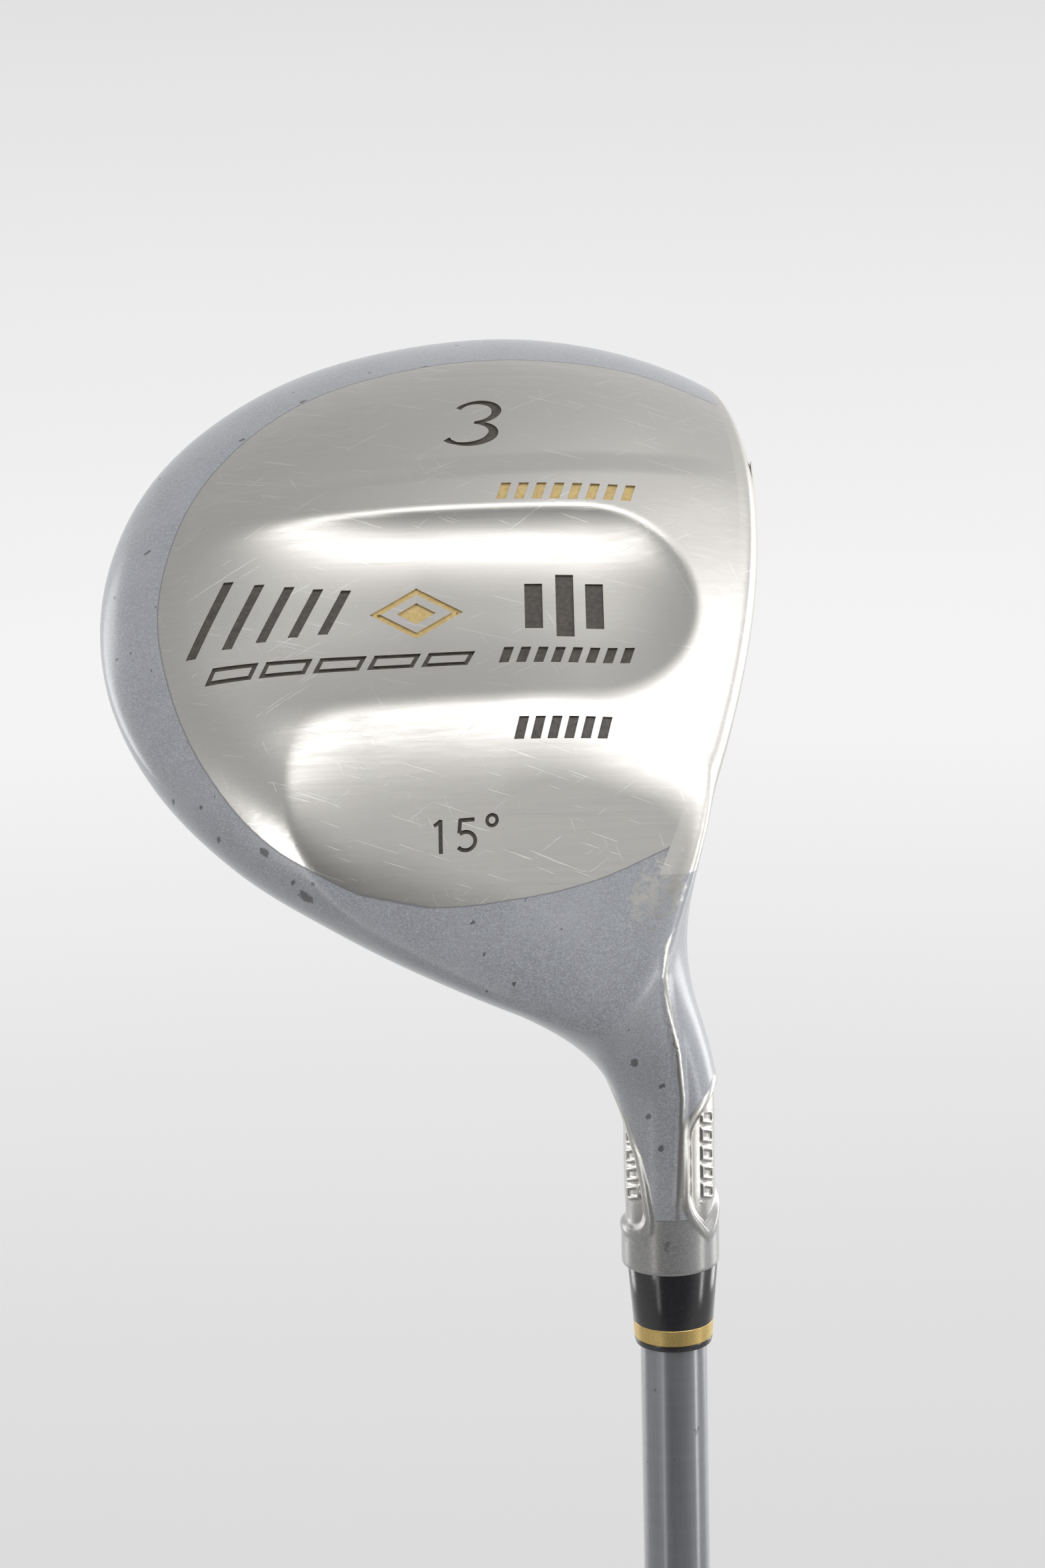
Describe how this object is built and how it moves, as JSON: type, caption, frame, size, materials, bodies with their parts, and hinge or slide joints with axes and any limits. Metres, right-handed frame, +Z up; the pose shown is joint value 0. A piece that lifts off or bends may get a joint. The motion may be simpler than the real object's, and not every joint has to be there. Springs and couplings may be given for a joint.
{
  "type": "fairway wood",
  "caption": "Golf fairway wood: hollow metal head with a channelled brushed sole, painted skirt and offset neck, on a banded ferrule, tapered shaft and rubber grip",
  "frame": {"origin": "on the shaft axis, at the butt end of the grip cap", "axes": "+Z runs up the shaft axis from the butt to the head, +X is the way the face looks, and the sole looks along -Y and up"},
  "size_m": [0.086, 0.0977, 1.1285],
  "materials": {
    "bare_titanium": "brushed bare titanium, warm light grey",
    "head_paint": "blue-grey metallic paint over titanium",
    "face_titanium": "fine brushed titanium striking face",
    "white_fill": "white paint fill in the score lines",
    "dark_fill": "dark brown-black paint fill",
    "gold_fill": "gold paint fill",
    "tacky_glue": "amber hot-melt glue",
    "graphite": "satin gunmetal painted graphite composite",
    "weight_brass": "turned brass",
    "epoxy": "cured epoxy",
    "ferrule_black": "polished black plastic",
    "ferrule_gold": "gold trim band",
    "tape": "creped paper grip tape",
    "grip_rubber": "black grip rubber with a fine moulded pattern"
  },
  "bodies": {
    "root": {"head_casting": "bare_titanium", "crown_shell": "head_paint", "face_plate": "face_titanium", "score_line_paint": "white_fill", "rattle_glue": "tacky_glue", "number_paint": "dark_fill", "loft_mark_paint": "dark_fill", "emblem_dark_paint": "dark_fill", "emblem_gold_paint": "gold_fill", "bar_mark_paint": "dark_fill", "dark_row_paint": "dark_fill", "gold_row_paint": "gold_fill", "shaft": "graphite", "tip_weight": "weight_brass", "shaft_epoxy": "epoxy", "ferrule_collar": "ferrule_black", "ferrule_gold_band": "ferrule_gold", "ferrule_lip_ring": "ferrule_black", "grip_tape": "tape", "grip_sleeve": "grip_rubber", "grip_cap": "grip_rubber"}
  },
  "joints": []
}
